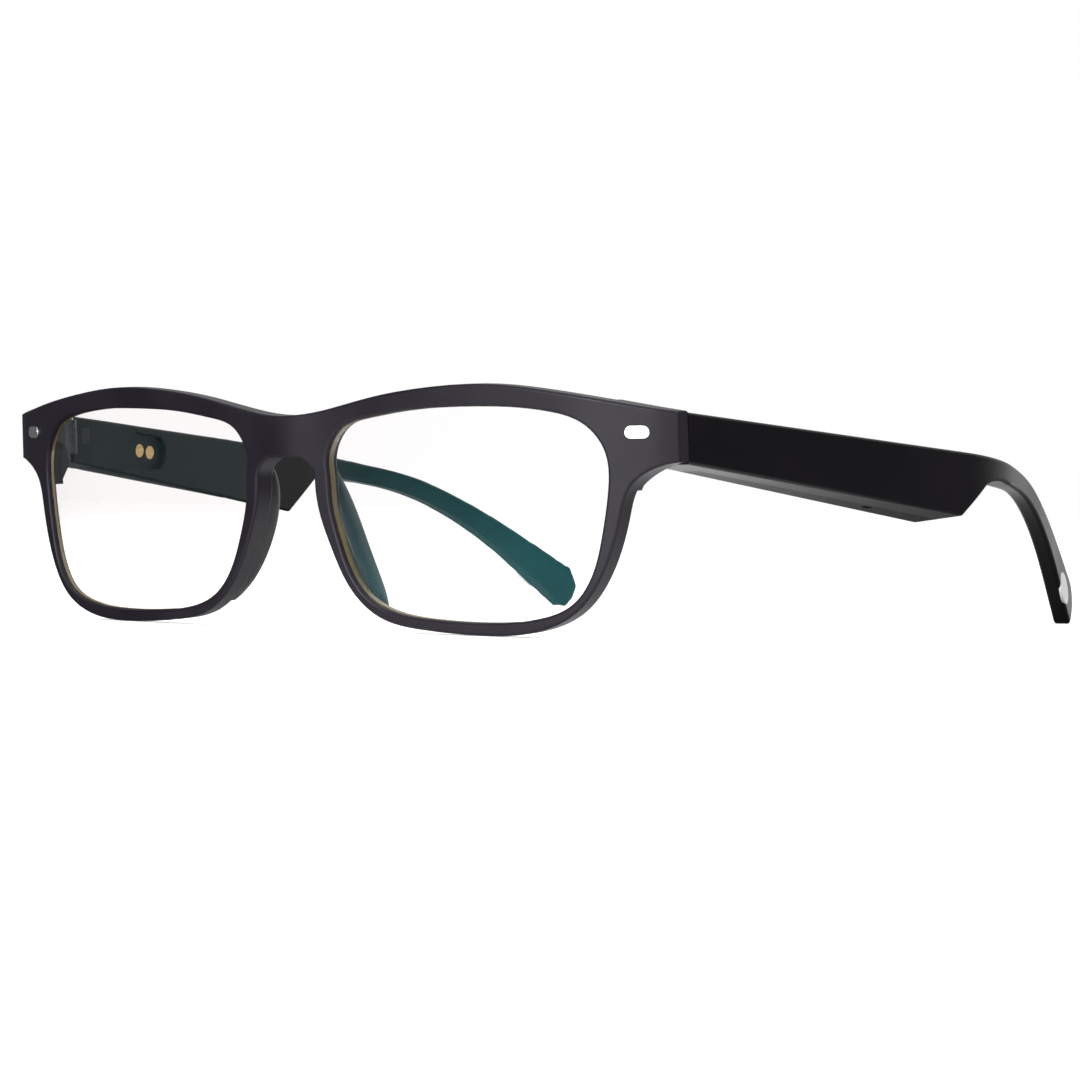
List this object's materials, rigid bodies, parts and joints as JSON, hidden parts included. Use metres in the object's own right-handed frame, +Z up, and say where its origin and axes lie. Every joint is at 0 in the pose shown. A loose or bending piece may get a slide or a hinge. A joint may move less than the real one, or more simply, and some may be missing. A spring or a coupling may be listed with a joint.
{
  "type": "smart glasses",
  "caption": "Black full-rim smart glasses: wrapped front with a keyhole bridge, clear lenses, and thick folding temples that hold battery, speaker and electronics.",
  "frame": {"origin": "middle of the footprint, on the table that the two rims and the two temple tips stand on", "axes": "+X to the wearer's left, +Y from the front back to the tips, +Z up"},
  "size_m": [0.1568, 0.1549, 0.0395],
  "materials": {
    "frame_black": "satin black moulded plastic",
    "lens_clear": "clear lens with a blue-green anti-reflection coating",
    "trim_silver": "polished silver inlay",
    "pad_black": "satin black moulded plastic",
    "hinge_steel": "nickel silver, lightly brushed",
    "screw_steel": "turned steel",
    "temple_black": "fine matte black moulded plastic",
    "cover_black": "fine matte black moulded plastic",
    "core_steel": "spring steel strip",
    "oval_pale": "pale printed inlay",
    "contact_gold": "gold plated",
    "magnet_nickel": "nickel plated",
    "board_green": "solder mask over glass fibre",
    "shield_steel": "tinned steel can",
    "flex_amber": "polyimide film",
    "cell_silver": "pouch foil",
    "lead_red": "insulated wire",
    "mesh_dark": "fine woven mesh",
    "speaker_black": "moulded speaker box"
  },
  "bodies": {
    "front": {"front_frame": "frame_black", "lens_left": "lens_clear", "lens_right": "lens_clear", "trim_left": "trim_silver", "trim_right": "trim_silver", "nose_pad_left": "pad_black", "nose_pad_right": "pad_black", "hinge_front_leaf_left": "hinge_steel", "hinge_front_leaf_right": "hinge_steel", "hinge_screw_left": "screw_steel", "hinge_screw_right": "screw_steel"},
    "temple_left": {"hinge_temple_leaf_left": "hinge_steel", "temple_end_cap_left": "temple_black", "temple_outer_shell_left": "temple_black", "temple_inner_shell_left": "cover_black", "tip_core_left": "core_steel", "tip_oval_left": "oval_pale", "charge_contacts_left": "contact_gold", "charge_magnets_left": "magnet_nickel", "circuit_board_left": "board_green", "wireless_module_left": "shield_steel", "antenna_left": "flex_amber", "battery_left": "cell_silver", "battery_leads_left": "lead_red", "touch_sensor_left": "flex_amber", "microphone_left": "shield_steel", "microphone_mesh_left": "mesh_dark", "speaker_left": "speaker_black", "speaker_leads_left": "lead_red", "speaker_mesh_left": "mesh_dark"},
    "temple_right": {"hinge_temple_leaf_right": "hinge_steel", "temple_end_cap_right": "temple_black", "temple_outer_shell_right": "temple_black", "temple_inner_shell_right": "cover_black", "tip_core_right": "core_steel", "tip_oval_right": "oval_pale", "charge_contacts_right": "contact_gold", "charge_magnets_right": "magnet_nickel", "circuit_board_right": "board_green", "wireless_module_right": "shield_steel", "antenna_right": "flex_amber", "battery_right": "cell_silver", "battery_leads_right": "lead_red", "touch_sensor_right": "flex_amber", "microphone_right": "shield_steel", "microphone_mesh_right": "mesh_dark", "speaker_right": "speaker_black", "speaker_leads_right": "lead_red", "speaker_mesh_right": "mesh_dark"}
  },
  "joints": [
    {"name": "temple_left_fold", "type": "hinge", "parent": "front", "child": "temple_left", "pos_m": [0.0615, -0.06198, 0.03129], "axis": [0, -0.0609, 0.9981], "range_deg": [0, 90]},
    {"name": "temple_right_fold", "type": "hinge", "parent": "front", "child": "temple_right", "pos_m": [-0.0615, -0.06198, 0.03129], "axis": [0, 0.0609, -0.9981], "range_deg": [0, 72]}
  ]
}
